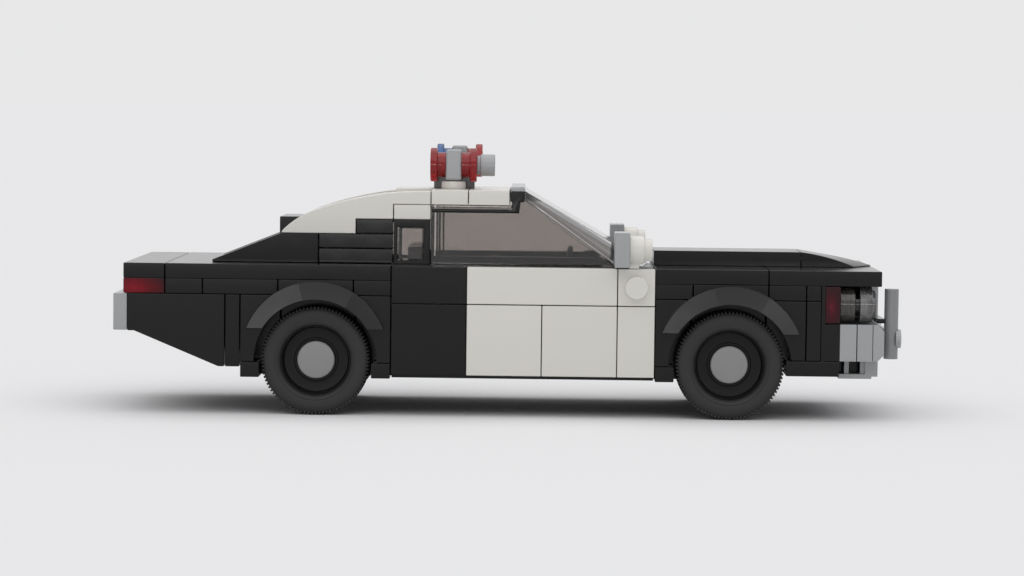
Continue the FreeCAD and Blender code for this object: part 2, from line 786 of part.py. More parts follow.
def mirror_rounds():
    middle = mirror_middle()
    disc = rod(middle, along, mirror_round_t, mirror_round_r)
    tip = rod(middle + along * mirror_round_t, along, stud_h, stud_r)
    foot_y1 = middle.y + mirror_round_r / 2
    foot = box(middle.x, middle.x + mirror_foot_t, -side_y, foot_y1, belt_z1, middle.z)
    return pairs([fuse(disc, tip, foot)])


# ---- light bar --------------------------------------------------------------
def light_middle(side):
    """Middle of a unit's core; side is -1 on the right."""
    if side < 0:
        return Vec(light_x, -light_y, light_z)
    return Vec(light_x + light_ahead, light_y, light_z + light_lift)


def light_bases():
    solids = []
    for side in (-1, 1):
        middle = light_middle(side)
        height = middle.z - light_core_h / 2 - light_neck_h - roof_z1
        solids.append(rod(Vec(middle.x, middle.y, roof_z1), up, height, light_base_r))
    return solids


def light_cores():
    solids = []
    for side in (-1, 1):
        middle = light_middle(side)
        low = middle.z - light_core_h / 2
        core = box(middle.x - light_core_t / 2, middle.x + light_core_t / 2,
                   middle.y - light_core_w / 2, middle.y + light_core_w / 2, low, low + light_core_h)
        neck = rod(middle, up * -1, light_core_h / 2 + light_neck_h, light_neck_r)
        solids.append(fuse(core, neck))
    return solids


def light_lamp(side, way):
    """A round lamp; side is -1 on the right, way is -1 at the back."""
    face = light_middle(side) + along * (way * light_core_t / 2)
    out = Vec(way, 0, 0)
    body = rod(face, out, light_lamp_t, light_lamp_neck_r)
    rim = rod(face + out * (light_lamp_t - light_lamp_rim), out, light_lamp_rim, light_lamp_r)
    return fuse(body, rim)


def red_lamps():
    return [light_lamp(-1, -1), light_lamp(-1, 1), light_lamp(1, 1)]


def blue_lamp():
    return [light_lamp(1, -1)]


def siren():
    """The horn in front of the right-hand unit."""
    face = light_middle(-1) + along * (light_core_t / 2 + light_lamp_t)
    neck = rod(face, along, siren_neck, siren_neck_r)
    horn = rod(face + along * siren_neck, along, siren_len, siren_r)
    return fuse(neck, horn)


def light_saddle():
    half = saddle_len / 2
    y = saddle_w / 2
    return [box(light_x - half, light_x + half, -y, y, roof_z1, roof_z1 + saddle_h)]


# ---- wheels -----------------------------------------------------------------
def tyre():
    """A tyre about the Y axis, with its outer face towards -Y."""
    y0 = -tyre_y1
    y1 = -tyre_y0
    c = tread_round
    ring_r = (tyre_r + rim_r) / 2
    return turned([(rim_r, y0 + c), (rim_r + c / 2, y0 + c / 4), (ring_r, y0), (tyre_r - c, y0 + c / 4),
                   (tyre_r, y0 + c), (tyre_r, y1 - c), (tyre_r - c, y1), (rim_r, y1)])


def rim():
    y0 = -tyre_y1
    y1 = -tyre_y0
    dish = y0 + rim_depth
    bore = bar_r + pin_fit
    end = -core_y - pin_len - 2 * pin_fit
    return turned([(0, end), (bore, end), (bore, y1), (rim_r, y1), (rim_r, y0 + rim_lip),
                   (rim_r - rim_lip, y0 + rim_lip), (rim_r - 2 * rim_lip, dish - rim_lip),
                   (cap_r + gap, dish), (0, dish)])


def hub_cap():
    dish = -tyre_y1 + rim_depth
    return turned([(0, dish), (cap_r, dish), (cap_r, dish - cap_t + 2 * gap),
                   (cap_r - 2 * gap, dish - cap_t), (0, dish - cap_t)])


def wheel_pieces(x, side):
    placed = []
    for shape in (tyre(), rim(), hub_cap()):
        if side > 0:
            shape = mirrored(shape)
        shape.translate(Vec(x, 0, axle_z))
        placed.append(shape)
    return placed


# ---- every node -------------------------------------------------------------
body_nodes = {
    "chassis_plate": [chassis_plate()],
    "axle_holders": [axle_holder(rear_wheel_x), axle_holder(front_wheel_x)],
    "core_bricks": core_bricks() + tail_core(),
    "arch_panels": pairs([arch_panel(front_wheel_x, bumper_z0), arch_panel(rear_wheel_x, chassis_z1)]),
    "arch_flares": pairs([arch_flare(front_wheel_x), arch_flare(rear_wheel_x)]),
    "rear_wedges": rear_wedges(),
    "corner_plates": corner_plates(),
    "side_plates": side_plates(),
    "black_door_tiles": black_door_tiles(),
    "white_door_tiles": white_door_tiles(),
    "white_columns": white_columns(),
    "door_walls": door_walls(),
    "waist_plates": waist_plates(),
    "front_deck": front_deck(),
    "boot_deck": boot_deck(),
    "bonnet_ridge": bonnet_ridge(),
    "buttresses": buttresses(),
    "louvres": louvres(),
    "white_pillars": white_pillars(),
    "quarter_frames": quarter_frames(),
    "roof_tiles": roof_tiles(),
    "roof_frame": roof_frame(),
    "windscreen": windscreen(),
    "screen_cap": screen_cap(),
    "cabin_glass": side_glass() + quarter_glass() + back_glass(),
    "rear_shelf": rear_shelf(),
    "window_sills": window_sills(),
    "seats": seats(),
    "dashboard": dashboard(),
    "steering_wheel": steering_wheel(),
    "nose_plate": nose_plate(),
    "side_markers": side_markers(),
    "headlamps": headlamps(),
    "grille": grille(),
    "front_bumper": front_bumper(),
    "bumper_corners": bumper_corners(),
    "push_bar": push_bar(),
    "push_buffers": push_buffers(),
    "tail_lamps": tail_lamps(),
    "rear_bumper": rear_bumper(),
    "mirror_tiles": mirror_tiles(),
    "mirror_rounds": mirror_rounds(),
    "light_bases": light_bases(),
    "light_cores": light_cores() + [siren()],
    "red_lamps": red_lamps(),
    "blue_lamp": blue_lamp(),
    "light_saddle": light_saddle(),
}
for node, shapes in body_nodes.items():
    save(node, shapes)

# name, station, side
wheel_table = (
    ("front_right", front_wheel_x, -1),
    ("front_left", front_wheel_x, 1),
    ("rear_right", rear_wheel_x, -1),
    ("rear_left", rear_wheel_x, 1),
)
for name, station, side in wheel_table:
    for piece, shape in zip(("tyre", "rim", "cap"), wheel_pieces(station, side)):
        save(name + "_" + piece, [shape])
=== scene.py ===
import json
import math

import bpy
from mathutils import Matrix, Vector

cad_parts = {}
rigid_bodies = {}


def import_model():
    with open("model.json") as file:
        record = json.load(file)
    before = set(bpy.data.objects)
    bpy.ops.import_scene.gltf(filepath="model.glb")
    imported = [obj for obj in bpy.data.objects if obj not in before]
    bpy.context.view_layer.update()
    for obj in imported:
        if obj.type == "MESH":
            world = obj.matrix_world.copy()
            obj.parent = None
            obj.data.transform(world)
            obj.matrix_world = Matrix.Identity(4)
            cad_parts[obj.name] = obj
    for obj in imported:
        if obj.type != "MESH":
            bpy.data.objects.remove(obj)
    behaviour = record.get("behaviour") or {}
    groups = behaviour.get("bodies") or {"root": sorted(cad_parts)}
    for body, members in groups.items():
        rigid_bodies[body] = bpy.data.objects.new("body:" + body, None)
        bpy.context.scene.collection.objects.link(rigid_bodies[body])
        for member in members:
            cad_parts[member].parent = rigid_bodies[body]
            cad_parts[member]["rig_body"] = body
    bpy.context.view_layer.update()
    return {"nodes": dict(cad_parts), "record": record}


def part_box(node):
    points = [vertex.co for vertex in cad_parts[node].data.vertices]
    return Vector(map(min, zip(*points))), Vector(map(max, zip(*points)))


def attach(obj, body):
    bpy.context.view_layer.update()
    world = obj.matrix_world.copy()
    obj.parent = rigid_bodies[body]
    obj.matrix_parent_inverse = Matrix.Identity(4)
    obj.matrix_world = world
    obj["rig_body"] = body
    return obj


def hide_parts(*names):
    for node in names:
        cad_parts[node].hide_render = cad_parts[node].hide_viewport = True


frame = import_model()
print("frame loaded,", len(frame["nodes"]), "nodes")

mm = 0.001
weldGap = 0.002 * mm         # points closer than this become one
plasticIor = 1.5


# shader maths reads as plain expressions on sockets
class Wire:
    def __init__(self, nodes, socket):
        self.nodes = nodes
        self.socket = socket

    def maths(self, operation, *values):
        return self.nodes.add("ShaderNodeMath", {"operation": operation}, dict(enumerate(values)))

    def __add__(self, other):
        return self.maths("ADD", self, other)

    def __radd__(self, other):
        return self.maths("ADD", other, self)

    def __sub__(self, other):
        return self.maths("SUBTRACT", self, other)

    def __mul__(self, other):
        return self.maths("MULTIPLY", self, other)

    def __truediv__(self, other):
        return self.maths("DIVIDE", self, other)

    def __pow__(self, other):
        return self.maths("POWER", self, other)

    def __abs__(self):
        return self.maths("ABSOLUTE", self)

    # repeats every two reaches, from minus one reach to plus one
    def wrap(self, reach):
        return self.maths("WRAP", self, reach, -reach)


# a node tree, and the one way to add a node to it
class Nodes:
    def __init__(self, tree):
        self.tree = tree

    def add(self, kind, settings=None, inputs=None, output=0):
        node = self.tree.nodes.new(kind)
        for name, value in (settings or {}).items():
            if name == "stops":
                self.fillRamp(node.color_ramp, value)
            else:
                setattr(node, name, value)
        for name, value in (inputs or {}).items():
            self.feed(node.inputs[name], value)
        return Wire(self, node.outputs[output]) if node.outputs else None

    def fillRamp(self, ramp, stops):
        for element, (place, colour) in ((ramp.elements[0], stops[0]), (ramp.elements[1], stops[-1])):
            element.position = place
            element.color = colour
        for place, colour in stops[1:-1]:
            ramp.elements.new(place).color = colour

    def feed(self, socket, value):
        if isinstance(value, Wire):
            self.tree.links.new(value.socket, socket)
        else:
            socket.default_value = value


# one material
class Paint(Nodes):
    def __init__(self, name):
        self.material = bpy.data.materials.new(name)
        self.material.use_nodes = True
        super().__init__(self.material.node_tree)
        self.shader = self.tree.nodes["Principled BSDF"]

    def set(self, **values):
        for name, value in values.items():
            self.feed(self.shader.inputs[name.replace("_", " ")], value)

    def coords(self):
        return self.add("ShaderNodeTexCoord", output="Object")

    # a number of its own for each brick of a piece
    def brick(self):
        return self.add("ShaderNodeNewGeometry", output="Random Per Island")

    def axis(self, name):
        return self.add("ShaderNodeSeparateXYZ", None, {0: self.coords()}, output=name)

    def noise(self, scale, detail, roughness=0.5):
        return self.add("ShaderNodeTexNoise", None,
                        {"Vector": self.coords(), "Scale": scale, "Detail": detail, "Roughness": roughness})

    # noise drawn out along Z
    def streaks(self, scale, detail, stretch):
        place = self.add("ShaderNodeMapping", None, {"Vector": self.coords(), "Scale": (1.0, 1.0, stretch)})
        return self.add("ShaderNodeTexNoise", None, {"Vector": place, "Scale": scale, "Detail": detail})

    def mix(self, factor, first, second, blend="MIX"):
        return self.add("ShaderNodeMix", {"data_type": "RGBA", "blend_type": blend},
                        {0: factor, 6: first, 7: second}, output=2)

    def tint(self, first, second):
        return self.mix(1.0, first, second, "MULTIPLY")

    def ramp(self, factor, *stops):
        return self.add("ShaderNodeValToRGB", {"stops": stops}, {0: factor})

    def bump(self, height, strength, distance):
        return self.add("ShaderNodeBump", None,
                        {"Height": height, "Strength": strength, "Distance": distance})


def opaque(colour):
    return (*colour, 1.0)


def scaled(colour, factor):
    return opaque(min(1.0, channel * factor) for channel in colour)


# moulded plastic: each brick a touch lighter or darker, flow marks, a moulded skin and light handling wear
mouldedSettings = {
    # each noise's scale per metre, detail and roughness
    "flow": (60.0, 3.0),
    "wear": (420.0, 4.0, 0.6),
    "skin": (2600.0, 2.0),
    "wearDepth": 0.07,
    "skinStrength": 0.35,
    "skinHeight": 0.004 * mm,
    "brickShare": 0.6,       # share of the shade that goes by the brick, the rest by the flow marks
}


def mouldedSkin(paint):
    settings = mouldedSettings
    return paint.bump(paint.noise(*settings["skin"]), settings["skinStrength"], settings["skinHeight"])


def mouldedPlastic(name, colour, roughness, specular, spread=0.10):
    paint = Paint(name)
    settings = mouldedSettings
    share = settings["brickShare"]
    depth = settings["wearDepth"]
    shade = paint.brick() * share + paint.noise(*settings["flow"]) * (1 - share)
    paint.set(Base_Color=paint.mix(shade, scaled(colour, 1 - spread), scaled(colour, 1 + spread)))
    paint.set(Roughness=roughness - depth / 2 + paint.noise(*settings["wear"]) * depth)
    paint.set(Specular_IOR_Level=specular, Normal=mouldedSkin(paint))
    return paint.material


# clear coloured plastic, with faint flow streaks inside
clearSettings = {
    "flow": (700.0, 3.0),
    "haze": (900.0, 2.0),
    "hazeDepth": 0.03,
    "specular": 0.27,
    "bump": (0.2, 0.01 * mm),
}


def clearPlastic(name, colour, roughness=0.04, transmission=1.0, streak=0.06, stretch=1.0):
    paint = Paint(name)
    settings = clearSettings
    flow = paint.streaks(*settings["flow"], stretch)
    paint.set(Base_Color=paint.mix(flow, scaled(colour, 1 - streak), scaled(colour, 1 + streak)))
    paint.set(Roughness=roughness + paint.noise(*settings["haze"]) * settings["hazeDepth"])
    paint.set(Transmission_Weight=transmission, IOR=plasticIor, Specular_IOR_Level=settings["specular"])
    paint.set(Normal=paint.bump(flow, *settings["bump"]))
    return paint.material


# windscreen: light and shade are painted across its thick edge: a pale band, then smoked ones, each with a
# painted dark line behind it
screenSettings = {
    "head": 2.2 * mm,        # height of its top edge
    "foot": 8.3 * mm,        # length of its foot
    # painted shade over the top edge: its tint, and where it sets in
    "paintedHeadShade": (0.12, 0.12, 0.12),
    "headBlend": (0.02, 0.01),   # share of the height below and above the top edge's foot where it sets in
    # share of the thickness from the outer face inwards, and the painted tint there
    "paintedShadeBands": ((0.26, (0.70, 0.70, 0.70)), (0.34, (0.16, 0.157, 0.155)), (0.48, (0.17, 0.165, 0.16)),
              (0.56, (0.29, 0.275, 0.26)), (0.74, (0.29, 0.275, 0.26)), (0.80, (0.13, 0.12, 0.115)),
              (0.94, (0.13, 0.12, 0.115)), (1.0, (0.27, 0.25, 0.235))),
    "haze": (900.0, 2.0),
    "roughness": 0.03,
    "hazeDepth": 0.03,
    "bump": (0.2, 0.006 * mm),
}


def screenPlastic(name):
    paint = Paint(name)
    settings = screenSettings
    low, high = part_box("windscreen")
    length = high.x - low.x
    height = high.z - low.z
    head = settings["head"]
    alongCar = paint.axis("X") - low.x
    outer = alongCar * (-height / length) - paint.axis("Z") + high.z
    slope = (height - head) / (length - settings["foot"])
    inner = alongCar * slope + paint.axis("Z") - (high.z - head)
    # painted light and shade across the thickness of the edge
    paintedShadeBands = paint.ramp(outer / (outer + inner), *[(at, opaque(tint)) for at, tint in settings["paintedShadeBands"]])
    headAt = 1.0 - head / height
    below, above = settings["headBlend"]
    # painted shade: darker over the top edge
    shade = paint.ramp((paint.axis("Z") - low.z) / height, (headAt - below, (1.0, 1.0, 1.0, 1.0)),
                       (headAt + above, opaque(settings["paintedHeadShade"])))
    haze = paint.noise(*settings["haze"])
    paint.set(Base_Color=paint.tint(paintedShadeBands, shade))
    paint.set(Roughness=settings["roughness"] + haze * settings["hazeDepth"])
    paint.set(Transmission_Weight=1.0, IOR=plasticIor)
    paint.set(Normal=paint.bump(haze, *settings["bump"]))
    return paint.material


# headlamp plastic: clear discs with upright streaks, and painted shade on the waist between them
headlampTintsAndPaintedShade = {
    # millimetres ahead of the lamp's back, and the tint there; the near-black band on the waist is painted
    # shade
    "paintedShadeBands": ((0.0, (0.125, 0.117, 0.108)), (3.0, (0.125, 0.117, 0.108)), (3.2, (0.01, 0.01, 0.01)),
              (4.15, (0.01, 0.01, 0.01)), (4.3, (0.36, 0.36, 0.355)), (6.7, (0.30, 0.30, 0.30)),
              (7.0, (0.42, 0.43, 0.43))),
    "transmission": 0.5,
    "flow": (1400.0, 3.0, 0.08),   # scale, detail and stretch of the streaks
    "streaks": ((0.35, (0.40, 0.39, 0.37, 1.0)), (0.65, (1.0, 1.0, 1.0, 1.0))),
    "roughness": 0.05,
    "flowDepth": 0.05,
    "bump": (0.25, 0.02 * mm),
}


def headlampPlastic(name):
    paint = Paint(name)
    settings = headlampTintsAndPaintedShade
    low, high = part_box("headlamps")
    length = high.x - low.x
    # the tints along the lamp, with painted shade darkening the waist between the discs
    paintedShadeBands = paint.ramp((paint.axis("X") - low.x) / length,
                       *[(at * mm / length, opaque(tint)) for at, tint in settings["paintedShadeBands"]])
    flow = paint.streaks(*settings["flow"])
    paint.set(Base_Color=paint.tint(paintedShadeBands, paint.ramp(flow, *settings["streaks"])))
    paint.set(Roughness=settings["roughness"] + flow * settings["flowDepth"])
    paint.set(Transmission_Weight=settings["transmission"], IOR=plasticIor)
    paint.set(Normal=paint.bump(flow, *settings["bump"]))
    return paint.material


# red lamp plastic with painted light: a glow painted around one spot, dark away from it; no lamp lights it
paintedGlowSettings = {
    # for each lamp: its dark red, the colour of its painted glow, and where and how far that glow reaches
    "tail_lamps": {
        "dark": (0.020, 0.0045, 0.006),
        "bright": (0.23, 0.004, 0.014),
        "spot": (0.22, 0.38),        # share of the lamps' length and height
        "reach": (8.0 * mm, 3.2 * mm),
    },
    "side_markers": {
        "dark": (0.030, 0.0055, 0.0085),
        "bright": (0.115, 0.007, 0.018),
        "spot": (0.42, 0.45),
        "reach": (1.6 * mm, 4.0 * mm),
    },
    "fade": (0.55, 0.45),    # part way out, and how much of the painted glow is left there
    "streaks": (900.0, 3.0),
    "streakDepth": 0.4,
    "roughness": 0.07,
    "roughnessSpread": 0.05,
    "specular": 0.2,
    "bump": (0.2, 0.01 * mm),
}


def paintedGlowPlastic(name, node):
    paint = Paint(name)
    settings = paintedGlowSettings
    lamp = settings[node]
    low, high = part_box(node)
    alongCar = (paint.axis("X") - (low.x + (high.x - low.x) * lamp["spot"][0])) / lamp["reach"][0]
    upCar = (paint.axis("Z") - (low.z + (high.z - low.z) * lamp["spot"][1])) / lamp["reach"][1]
    streaks = paint.noise(*settings["streaks"])
    depth = settings["streakDepth"]
    away = (alongCar * alongCar + upCar * upCar) ** 0.5 + streaks * depth - depth / 2
    fadeAt, fade = settings["fade"]
    bright = lamp["bright"]
    # painted glow: bright around the spot, fading out to the lamp's dark red
    paint.set(Base_Color=paint.ramp(away, (0.0, opaque(bright)), (fadeAt, scaled(bright, fade)),
                                    (1.0, opaque(lamp["dark"]))))
    paint.set(Roughness=settings["roughness"] + streaks * settings["roughnessSpread"])
    paint.set(Specular_IOR_Level=settings["specular"], Normal=paint.bump(streaks, *settings["bump"]))
    return paint.material


# smoked black plates over the quarter panel: a faint paler spot at each stud
louvreSettings = {
    "pitch": 8 * mm,
    "row": 3.2 * mm,
    "spot": 2.6 * mm,        # from a spot's middle to its end, along the car
    "squash": 2.0,           # how much lower a spot is than it is long
    "pale": (0.021, 0.0205, 0.0195),
    "black": (0.0085, 0.0082, 0.0078),
    "haze": (500.0, 3.0),
    "hazeDepth": 0.5,
    "roughness": 0.10,
    "roughnessSpread": 0.06,
    "specular": 0.32,
}


def louvrePlastic(name):
    paint = Paint(name)
    settings = louvreSettings
    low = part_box("louvres")[0]
    halfPitch = settings["pitch"] / 2
    halfRow = settings["row"] / 2
    # distance to the middle of the nearest stud, along the car and up it
    alongCar = abs((paint.axis("X") - (low.x + halfPitch)).wrap(halfPitch))
    upCar = abs((paint.axis("Z") - (low.z + halfRow)).wrap(halfRow)) * settings["squash"]
    away = (alongCar * alongCar + upCar * upCar) ** 0.5 / settings["spot"]
    haze = paint.noise(*settings["haze"])
    depth = settings["hazeDepth"]
    paint.set(Base_Color=paint.ramp(away + haze * depth - depth / 2, (0.0, opaque(settings["pale"])),
                                    (1.0, opaque(settings["black"]))))
    paint.set(Roughness=settings["roughness"] + haze * settings["roughnessSpread"])
    paint.set(Specular_IOR_Level=settings["specular"], Normal=mouldedSkin(paint))
    return paint.material


# tyre rubber: matt, with dust in patches
rubberSettings = {
    "colour": (0.0245, 0.0245, 0.0245),
    "shades": (0.82, 1.25),  # darkest and palest, as shares of the colour
    "grain": (3200.0, 3.0),
    "dust": (160.0, 5.0, 0.65),
    "roughness": 0.5,
    "dustDepth": 0.16,
    "specular": 0.32,
    "bump": (0.4, 0.02 * mm),
}


def rubber(name):
    paint = Paint(name)
    settings = rubberSettings
    dust = paint.noise(*settings["dust"])
    dark, pale = [scaled(settings["colour"], share) for share in settings["shades"]]
    paint.set(Base_Color=paint.mix(dust, dark, pale))
    paint.set(Roughness=settings["roughness"] + dust * settings["dustDepth"])
    paint.set(Specular_IOR_Level=settings["specular"])
    paint.set(Normal=paint.bump(paint.noise(*settings["grain"]), *settings["bump"]))
    return paint.material


# finish of each material slot: colour, roughness, gloss
finishes = {
    "black_plastic": mouldedPlastic("blackPlastic", (0.0080, 0.0080, 0.0081), 0.15, 0.21),
    "white_plastic": mouldedPlastic("whitePlastic", (0.722, 0.702, 0.65), 0.22, 0.5, spread=0.012),
    "grey_plastic": mouldedPlastic("greyPlastic", (0.35, 0.36, 0.365), 0.2, 0.5, spread=0.03),
    "dark_grey_plastic": mouldedPlastic("darkGreyPlastic", (0.085, 0.085, 0.086), 0.2, 0.45, spread=0.05),
    "rim_plastic": mouldedPlastic("rimPlastic", (0.0062, 0.0062, 0.0063), 0.3, 0.16),
    "cap_plastic": mouldedPlastic("capPlastic", (0.265, 0.265, 0.265), 0.24, 0.5, spread=0.02),
    "clear_plastic": clearPlastic("clearPlastic", (0.72, 0.72, 0.71), streak=0.12, stretch=0.15),
    "smoke_plastic": clearPlastic("smokePlastic", (0.483, 0.447, 0.423)),
    "red_clear_plastic": clearPlastic("redClearPlastic", (0.42, 0.010, 0.014), 0.06, 0.5, streak=0.3,
                                      stretch=0.2),
    "blue_clear_plastic": clearPlastic("blueClearPlastic", (0.06, 0.16, 0.42), 0.06, 0.7),
    "tyre_rubber": rubber("tyreRubber"),
}

# nodes whose finish is their own
ownFinishes = {
    "windscreen": screenPlastic("screenPlastic"),
    "headlamps": headlampPlastic("headlampPlastic"),
    "push_bar": mouldedPlastic("postPlastic", (0.235, 0.24, 0.245), 0.2, 0.5, spread=0.03),
    "louvres": louvrePlastic("louvrePlastic"),
    "tail_lamps": paintedGlowPlastic("tailLampPaintedGlow", "tail_lamps"),
    "side_markers": paintedGlowPlastic("sideMarkerPaintedGlow", "side_markers"),
}
print("finishes ready,", len(finishes) + len(ownFinishes))

recordSlots = {part["node"]: part["material_slot"] for part in frame["record"]["subparts"]}
dressed = set()              # nodes that already have their piece


def onlySelect(piece):
    if bpy.context.object and bpy.context.object.mode != "OBJECT":
        bpy.ops.object.mode_set(mode="OBJECT")
    bpy.ops.object.select_all(action="DESELECT")
    piece.select_set(True)
    bpy.context.view_layer.objects.active = piece


def editAll(piece):
    onlySelect(piece)
    bpy.ops.object.mode_set(mode="EDIT")
    bpy.ops.mesh.select_all(action="SELECT")


def leaveEdit():
    bpy.ops.object.mode_set(mode="OBJECT")


def applyModifier(piece, kind, **settings):
    onlySelect(piece)
    modifier = piece.modifiers.new(kind.title(), kind)
    for name, value in settings.items():
        setattr(modifier, name, value)
    bpy.ops.object.modifier_apply(modifier=modifier.name)


# smooth shading up to an angle in degrees, with sharp edges past it
def smooth(piece, angle):
    onlySelect(piece)
    bpy.ops.object.shade_smooth_by_angle(angle=math.radians(angle))
    applyModifier(piece, "WEIGHTED_NORMAL", keep_sharp=True)


# fixes a shape's mesh where it stands, with the object at the origin
def settle(piece):
    onlySelect(piece)
    bpy.ops.object.transform_apply(location=True, rotation=True, scale=True)


def placeAt(piece, place, turn=(0, 0, 0)):
    piece.location = place
    piece.rotation_euler = turn
    settle(piece)


def copyPiece(piece, name):
    onlySelect(piece)
    bpy.ops.object.duplicate()
    twin = bpy.context.object
    twin.name = name
    return twin


def joinPieces(first, *others):
    onlySelect(first)
    for other in others:
        other.select_set(True)
    bpy.ops.object.join()
    return first


# gives a piece the finish of the node it replaces, from its slot unless the node has its own, and the node's
# body
def finishPiece(piece, node):
    slot = recordSlots[node]
    piece.data.materials.clear()
    piece.data.materials.append(ownFinishes.get(node, finishes[slot]))
    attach(piece, frame["nodes"][node]["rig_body"])
    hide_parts(node)
    dressed.add(node)


# a turned shape about Z, drawn from ring to ring, each a radius and a height in millimetres: a closed one
# is a tube that ends where it began, any other starts and ends as a disc
def turnedShape(name, rings, steps, closed=False):
    bpy.ops.object.select_all(action="DESELECT")
    radius, height = rings[0]
    bpy.ops.mesh.primitive_circle_add(vertices=steps, radius=radius * mm,
                                      fill_type="NOTHING" if closed else "NGON",
                                      location=(0, 0, height * mm), enter_editmode=True)
    for nextRadius, nextHeight in rings[1:] + (rings[:1] if closed else ()):
        rise = (nextHeight - height) * mm
        bpy.ops.mesh.extrude_region_move(TRANSFORM_OT_translate={"value": (0, 0, rise)})
        grow = nextRadius / radius
        bpy.ops.transform.resize(value=(grow, grow, 1), center_override=(0, 0, nextHeight * mm))
        radius, height = nextRadius, nextHeight
    bpy.ops.mesh.select_all(action="SELECT")
    if closed:
        bpy.ops.mesh.remove_doubles(threshold=weldGap)
    bpy.ops.mesh.normals_make_consistent(inside=False)
    leaveEdit()
    piece = bpy.context.object
    piece.name = name
    settle(piece)
    return piece


wheelNames = ("front_right", "front_left", "rear_right", "rear_left")
outwards = {"right": math.radians(90), "left": math.radians(-90)}   # turn about X of a shape that faces up


# middle of a wheel's outer face, from its tyre
def wheelFace(name):
    low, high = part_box(name + "_tyre")
    y = low.y if name.endswith("right") else high.y
    return Vector(((low.x + high.x) / 2, y, (low.z + high.z) / 2))


def placeOnWheels(model, part):
    for name in wheelNames:
        piece = copyPiece(model, name + "_" + part + "Piece")
        placeAt(piece, wheelFace(name), (outwards[name.split("_")[1]], 0, 0))
        finishPiece(piece, name + "_" + part)
    bpy.data.objects.remove(model)


# tyre: a rounded section with two rows of fine cross bars
tyreSettings = {
    "steps": 180,
    "smooth": 40,
    # radius and height from the outer face, round the section
    "section": ((7.4, -1.5), (7.55, -0.6), (7.95, -0.15), (8.3, 0.0), (8.5, -0.08), (8.7, 0.0), (9.9, 0.0),
                (10.6, -0.12), (11.0, -0.4), (11.2, -0.75), (11.24, -1.1), (11.24, -3.45), (11.24, -3.85),
                (11.24, -6.0), (11.0, -6.6), (10.5, -7.2), (9.6, -7.3), (7.4, -7.3)),
    "bars": ((-0.5, -3.45), (-3.85, -6.0)),   # top and bottom of each row
    "barFoot": 11.05,        # bars stand on faces further out than this
    "barHeight": 0.36,
}


def makeTyres():
    settings = tyreSettings
    tyre = turnedShape("tyre", settings["section"], settings["steps"], closed=True)
    pitch = 2 * math.pi / settings["steps"]
    for face in tyre.data.polygons:
        face.select = False
        middle = face.center
        count = math.floor(math.atan2(middle.y, middle.x) / pitch)
        for top, bottom in settings["bars"]:
            inRow = bottom * mm < middle.z < top * mm
            if inRow and middle.xy.length > settings["barFoot"] * mm and count % 2:
                face.select = True
    onlySelect(tyre)
    bpy.context.tool_settings.mesh_select_mode = (False, False, True)
    bpy.ops.object.mode_set(mode="EDIT")
    bpy.ops.mesh.extrude_faces_move(TRANSFORM_OT_shrink_fatten={"value": settings["barHeight"] * mm})
    bpy.ops.mesh.select_mode(type="VERT")
    leaveEdit()
    smooth(tyre, settings["smooth"])
    placeOnWheels(tyre, "tyre")


# rim: a dish with a groove round the cap, and a blind bore for the axle pin behind it
rimSettings = {
    "steps": 96,
    "smooth": 30,
    "rings": ((1.65, -4.45), (1.65, -7.3), (7.25, -7.3), (7.38, -7.1), (7.38, -1.35), (7.32, -1.25),
              (7.22, -1.25), (7.14, -1.35), (6.95, -3.2), (6.8, -3.5), (6.5, -3.6), (4.75, -3.6),
              (4.6, -3.75), (4.2, -3.75), (4.1, -3.6), (2.0, -3.6)),
}

# hub cap: a flat round tile with a rolled edge
capSettings = {
    "steps": 96,
    "smooth": 50,
    "rings": ((3.9, -3.6), (4.0, -3.5), (4.0, -2.68), (3.93, -2.5), (3.78, -2.41), (3.6, -2.4), (1.0, -2.39)),
}


def makeHubs():
    for part, settings in (("rim", rimSettings), ("cap", capSettings)):
        model = turnedShape(part, settings["rings"], settings["steps"])
        smooth(model, settings["smooth"])
        placeOnWheels(model, part)


makeTyres()
makeHubs()
print("wheels modelled")

facingFront = (0, math.radians(90), 0)      # turns a shape about Z to point along +X
facingRear = (0, math.radians(-90), 0)

# headlamps: two clear round plates on a stud, a raised lens, and a hollow behind it
headlampSettings = {
    "steps": 64,
    "smooth": 40,
    "radius": 3.9,
    "pitch": 8.0,
    "rings": ((1.7, 1.9), (1.7, 0.0), (3.78, 0.0), (3.87, 0.1), (3.87, 3.1), (3.78, 3.2), (2.4, 3.2),
              (2.4, 4.2), (3.78, 4.2), (3.87, 4.3), (3.87, 6.8), (3.78, 6.9), (2.95, 6.9), (2.95, 7.55),
              (2.8, 7.7), (0.9, 7.7)),
    "hollow": ((1.5, 4.6), (2.2, 4.7), (2.2, 6.1), (1.2, 6.4)),
}


def makeHeadlamps():
    settings = headlampSettings
    solid = turnedShape("headlamp", settings["rings"], settings["steps"])
    smooth(solid, settings["smooth"])
    hollow = turnedShape("hollow", settings["hollow"], settings["steps"])
    editAll(hollow)
    bpy.ops.mesh.flip_normals()
    leaveEdit()
    model = joinPieces(solid, hollow)
    low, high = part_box("headlamps")
    z = (low.z + high.z) / 2
    outer = high.y - settings["radius"] * mm
    inner = outer - settings["pitch"] * mm
    lamps = []
    for y in (-outer, -inner, inner, outer):
        lamp = copyPiece(model, "headlampPiece")
        placeAt(lamp, (low.x, y, z), facingFront)
        lamps.append(lamp)
    bpy.data.objects.remove(model)
    whole = joinPieces(*lamps)
    whole.name = "headlampPieces"
    finishPiece(whole, "headlamps")


# roof lamps: a clear round plate, its skirt towards the core and hollow inside
roofLampSettings = {
    "steps": 56,
    "smooth": 40,
    "length": 3.3,
    "rings": ((1.75, 2.1), (1.75, 0.0), (2.6, 0.0), (2.68, 0.1), (2.68, 1.72), (3.5, 1.8), (3.65, 1.95),
              (3.65, 3.12), (3.5, 3.3), (2.3, 3.3), (2.2, 3.12), (0.8, 3.1)),
}


